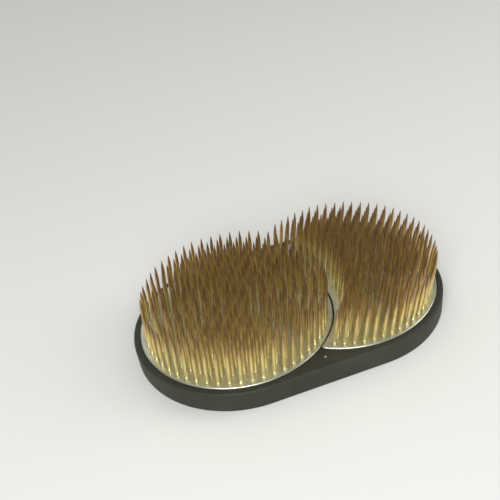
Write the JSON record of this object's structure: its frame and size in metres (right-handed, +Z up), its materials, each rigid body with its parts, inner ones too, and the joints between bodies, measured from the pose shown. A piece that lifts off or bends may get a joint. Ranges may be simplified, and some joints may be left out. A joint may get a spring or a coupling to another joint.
{
  "type": "flower frog",
  "caption": "Nesting flower frog for flower arranging: a round and a crescent metal plate full of upright brass pins, sitting side by side in one dark rubber surround.",
  "frame": {"origin": "centre of the overall footprint, on the underside of the rubber surround, which stands on the table", "axes": "+X from the round plate to the crescent plate, +Z up along the pins, +Y away from the side with the gate mark"},
  "size_m": [0.115, 0.0736, 0.0236],
  "materials": {
    "surround_rubber": "satin moulded rubber",
    "cast_alloy": "satin cast tin and lead alloy",
    "pin_brass": "bright drawn wire, browned towards the points"
  },
  "bodies": {
    "surround": {"rubber_ring": "surround_rubber"},
    "round_frog": {"round_plate": "cast_alloy", "round_pin_centre": "pin_brass", "round_pins_ring_01": "pin_brass", "round_pins_ring_02": "pin_brass", "round_pins_ring_03": "pin_brass", "round_pins_ring_04": "pin_brass", "round_pins_ring_05": "pin_brass", "round_pins_ring_06": "pin_brass", "round_pins_ring_07": "pin_brass", "round_pins_ring_08": "pin_brass", "round_pins_ring_09": "pin_brass"},
    "crescent_frog": {"crescent_plate": "cast_alloy", "crescent_pin_centre": "pin_brass", "crescent_pins_ring_01": "pin_brass", "crescent_pins_ring_02": "pin_brass", "crescent_pins_ring_03": "pin_brass", "crescent_pins_ring_04": "pin_brass", "crescent_pins_ring_05": "pin_brass", "crescent_pins_ring_06": "pin_brass", "crescent_pins_ring_07": "pin_brass", "crescent_pins_ring_08": "pin_brass", "crescent_pins_ring_09": "pin_brass", "crescent_pins_ring_10": "pin_brass"}
  },
  "joints": [
    {"name": "round_lift", "type": "slide", "parent": "surround", "child": "round_frog", "axis": [0, 0, 1], "range_m": [0, 0.03]},
    {"name": "crescent_lift", "type": "slide", "parent": "surround", "child": "crescent_frog", "axis": [0, 0, 1], "range_m": [0, 0.03]}
  ]
}
